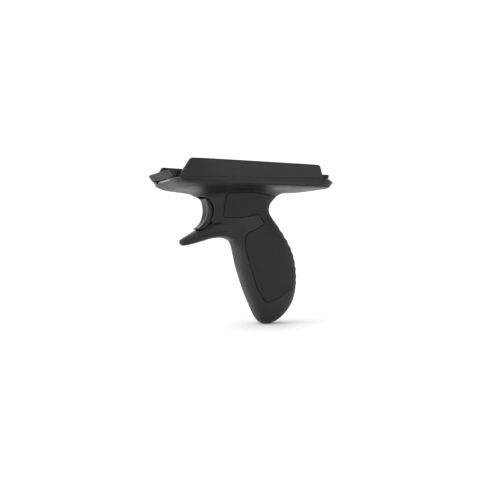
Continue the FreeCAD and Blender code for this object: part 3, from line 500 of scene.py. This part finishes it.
# --- operators ---------------------------------------------------------------------------------
class HANDLE_OT_shell(bpy.types.Operator):
    """Finish the two clamshell halves and the cradle on top of them"""
    bl_idname = "handle.shell"
    bl_label = "Shell and Cradle"

    def execute(self, context):
        surface = context.scene.handle_surface
        colour = context.scene.handle_colours.shell
        halves = moulded("charcoal_shell", colour, 0.44, surface.grain_pitch, surface.grain_depth,
                         seam=True)
        dress(halves, "housing_left", "housing_right")
        tray = moulded("charcoal_cradle", colour, 0.42, surface.grain_pitch, surface.grain_depth)
        dress(tray, "cradle")
        return {"FINISHED"}


class HANDLE_OT_grip(bpy.types.Operator):
    """Finish the rubber overmould of the grip"""
    bl_idname = "handle.grip"
    bl_label = "Grip Rubber"

    def execute(self, context):
        surface = context.scene.handle_surface
        rubber = moulded("matte_grip_rubber", context.scene.handle_colours.rubber, 0.60,
                         surface.rubber_pitch, surface.rubber_depth, wear=0.6, dust=1.4, scuffs=0.12)
        dress(rubber, "grip_pad_left", "grip_pad_right")
        return {"FINISHED"}


class HANDLE_OT_trigger(bpy.types.Operator):
    """Finish the trigger, its pin, bushes and spring"""
    bl_idname = "handle.trigger"
    bl_label = "Trigger"

    def execute(self, context):
        surface = context.scene.handle_surface
        satin = moulded("satin_trigger", context.scene.handle_colours.trigger, 0.34,
                        surface.grain_pitch * 0.7, surface.grain_depth * 0.4, wear=1.2)
        dress(satin, "trigger")
        dress(metal("ground_steel", (0.62, 0.62, 0.60), 0.16, (7000.0, 150.0, 7000.0), 0.000004),
              "trigger_pin")
        dress(spring_material(), "trigger_spring")
        dress(moulded("natural_nylon", (0.62, 0.58, 0.48), 0.42, 0.0006, 0.00001, wear=0.1, dust=0.5),
              "pivot_bushes", "board_connector", "contact_connector")
        return {"FINISHED"}


class HANDLE_OT_latch(bpy.types.Operator):
    """Finish the front latch and the rear hooks"""
    bl_idname = "handle.latch"
    bl_label = "Latch and Hooks"

    def execute(self, context):
        surface = context.scene.handle_surface
        colour = context.scene.handle_colours.shell
        dress(moulded("knurled_latch", colour, 0.40, surface.grain_pitch, surface.grain_depth, wear=1.6),
              "front_latch")
        dress(moulded("glossy_hook", lighter(colour, 0.7), 0.24, 0.0008, 0.000004, wear=1.4, scuffs=0.5),
              "rear_hook_left", "rear_hook_right")
        dress(metal("zinc_plate", (0.56, 0.57, 0.58), 0.34, (900.0, 900.0, 900.0), 0.000008),
              "latch_plate", "latch_screws", "contact_screws")
        latch_coils(spring_material())
        return {"FINISHED"}


class HANDLE_OT_electrics(bpy.types.Operator):
    """Finish the switch, boards, flat cable and contacts"""
    bl_idname = "handle.electrics"
    bl_label = "Switch and Contacts"

    def execute(self, context):
        dress(board_material(), "switch_board", "contact_board")
        dress(flex_material(), "flex_cable")
        dress(moulded("switch_case", (0.018, 0.018, 0.019), 0.30, 0.0004, 0.000008),
              "switch_body", "board_parts", "contact_block")
        dress(moulded("red_plunger", (0.42, 0.018, 0.014), 0.32, 0.0005, 0.000006, wear=0.2, dust=0.3),
              "switch_plunger")
        dress(metal("gold_contacts", (0.92, 0.63, 0.26), 0.18, (4000.0, 4000.0, 300.0), 0.000003, 0.8),
              "contact_pins")
        return {"FINISHED"}


class HANDLE_OT_fasteners(bpy.types.Operator):
    """Finish the screws and threaded inserts"""
    bl_idname = "handle.fasteners"
    bl_label = "Fasteners"

    def execute(self, context):
        dress(metal("blackened_screw", (0.075, 0.075, 0.078), 0.36, (2500.0, 2500.0, 2500.0),
                    0.000006, 0.7),
              "cradle_screws", "shell_screws")
        dress(metal("insert_brass", (0.80, 0.55, 0.22), 0.28, (3500.0, 3500.0, 3500.0), 0.00001, 0.7),
              "cradle_inserts", "shell_inserts")
        return {"FINISHED"}


class HANDLE_OT_seals(bpy.types.Operator):
    """Finish the gasket and the rubber pads that carry the device"""
    bl_idname = "handle.seals"
    bl_label = "Seals and Pads"

    def execute(self, context):
        seal = moulded("soft_seal", context.scene.handle_colours.seal, 0.70, 0.0005, 0.00002,
                       wear=0.3, dust=1.6, scuffs=0.1)
        dress(seal, "rim_gasket", "seat_pads", "wing_pads")
        return {"FINISHED"}


class HANDLE_OT_stage(bpy.types.Operator):
    """Build the floor and backdrop, the lights and the camera"""
    bl_idname = "handle.stage"
    bl_label = "Studio"

    def execute(self, context):
        stage = context.scene.handle_stage
        floor_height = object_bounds()[0].z
        away = Vector((-math.sin(stage.azimuth), math.cos(stage.azimuth), 0))
        side = Vector((math.cos(stage.azimuth), math.sin(stage.azimuth), 0))
        floor = backdrop(floor_height, away, side)
        floor.data.materials.append(floor_material(stage.floor))
        floor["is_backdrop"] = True
        up = Vector((0, 0, 1))
        soft_light("key_light", away * -0.55 + side * -0.75 + up * 0.85, 0.9, stage.key_power)
        soft_light("top_light", away * 0.25 + up * 1.1, 1.1, stage.key_power * TOP_SHARE)
        soft_light("fill_light", away * -0.7 + side * 0.9 + up * 0.15, 0.8, stage.key_power * FILL_SHARE)
        soft_light("side_light", away * -0.25 + side * -0.9 + up * -0.05, 0.5, stage.side_power)
        world_light(stage.room_light)
        camera_data = bpy.data.cameras.new("studio_camera")
        camera_data.lens = stage.lens
        camera_data.clip_start = 0.01
        camera_data.clip_end = 20.0
        camera = bpy.data.objects.new("studio_camera", camera_data)
        context.scene.collection.objects.link(camera)
        camera.location = away * -stage.distance + Vector((0, 0, stage.height))
        camera.rotation_euler = away.to_track_quat("-Z", "Y").to_euler()
        context.scene.camera = camera
        context.scene.view_settings.view_transform = "Standard"
        return {"FINISHED"}


# --- studio ------------------------------------------------------------------------------------
def backdrop(floor_z, away, side):
    """Floor that curves up into a wall behind the handle, in one sheet."""
    reach, bend, height, half_width = 0.9, 0.5, 1.6, 2.6
    profile = [(-2.4, 0.0)]
    steps = 16
    for i in range(steps + 1):
        angle = math.pi / 2 * i / steps
        profile.append((reach + bend * math.sin(angle), bend * (1 - math.cos(angle))))
    profile.append((reach + bend, height))
    sheet = bmesh.new()
    rows = []
    for along, up in profile:
        centre = away * along + Vector((0, 0, floor_z + up))
        rows.append([sheet.verts.new(centre + side * half_width * sign) for sign in (-1, 1)])
    for near, far in zip(rows, rows[1:]):
        face = sheet.faces.new((near[0], near[1], far[1], far[0]))
        face.smooth = True
    mesh = bpy.data.meshes.new("backdrop")
    sheet.to_mesh(mesh)
    sheet.free()
    floor = bpy.data.objects.new("backdrop", mesh)
    bpy.context.scene.collection.objects.link(floor)
    return floor


def floor_material(colour):
    """Pale painted floor with a faint mottle."""
    material, tree, shader, place = new_material("pale_floor")
    mottle = use_group(tree, "slow_variation", {"Vector": place, "Size": 0.4})["Value"]
    tree.links.new(blend_colour(tree, mottle, lighter(colour, 0.985), colour), shader.inputs["Base Color"])
    tree.links.new(ramp(tree, mottle, 0.0, 1.0, 0.78, 0.9), shader.inputs["Roughness"])
    return material


def soft_light(name, place, size, power):
    data = bpy.data.lights.new(name, "AREA")
    data.shape = "DISK"
    data.size = size
    data.energy = power
    light = bpy.data.objects.new(name, data)
    bpy.context.scene.collection.objects.link(light)
    light.location = place
    light.rotation_euler = (LIGHT_TARGET - place).to_track_quat("-Z", "Y").to_euler()


def world_light(strength):
    world = bpy.data.worlds.new("studio_room")
    bpy.context.scene.world = world
    world.use_nodes = True
    background = world.node_tree.nodes["Background"]
    background.inputs["Color"].default_value = (1.0, 1.0, 1.0, 1.0)
    background.inputs["Strength"].default_value = strength


# --- panel and registration --------------------------------------------------------------------
PIECE_OPERATORS = (
    HANDLE_OT_shell,
    HANDLE_OT_grip,
    HANDLE_OT_trigger,
    HANDLE_OT_latch,
    HANDLE_OT_electrics,
    HANDLE_OT_fasteners,
    HANDLE_OT_seals,
    HANDLE_OT_stage,
)


class HANDLE_PT_panel(bpy.types.Panel):
    """Sizes, colours and buttons for the trigger handle"""
    bl_idname = "HANDLE_PT_panel"
    bl_label = "Trigger Handle"
    bl_space_type = "VIEW_3D"
    bl_region_type = "UI"
    bl_category = "Handle"

    def draw(self, context):
        for settings in (context.scene.handle_colours, context.scene.handle_surface,
                         context.scene.handle_stage):
            column = self.layout.column(align=True)
            for name in settings.__annotations__:
                column.prop(settings, name)
        for operator in PIECE_OPERATORS:
            self.layout.operator(operator.bl_idname)


SETTINGS = {
    "handle_colours": HandleColours,
    "handle_surface": HandleSurface,
    "handle_stage": HandleStage,
}


def register():
    for group in (*SETTINGS.values(), *PIECE_OPERATORS, HANDLE_PT_panel):
        bpy.utils.register_class(group)
    for name, group in SETTINGS.items():
        setattr(bpy.types.Scene, name, bpy.props.PointerProperty(type=group))


def unregister():
    for name in SETTINGS:
        delattr(bpy.types.Scene, name)
    for group in reversed((*SETTINGS.values(), *PIECE_OPERATORS, HANDLE_PT_panel)):
        bpy.utils.unregister_class(group)


def main():
    register()
    for operator in PIECE_OPERATORS:
        category, name = operator.bl_idname.split(".")
        getattr(getattr(bpy.ops, category), name)()


if __name__ == "__main__":
    main()
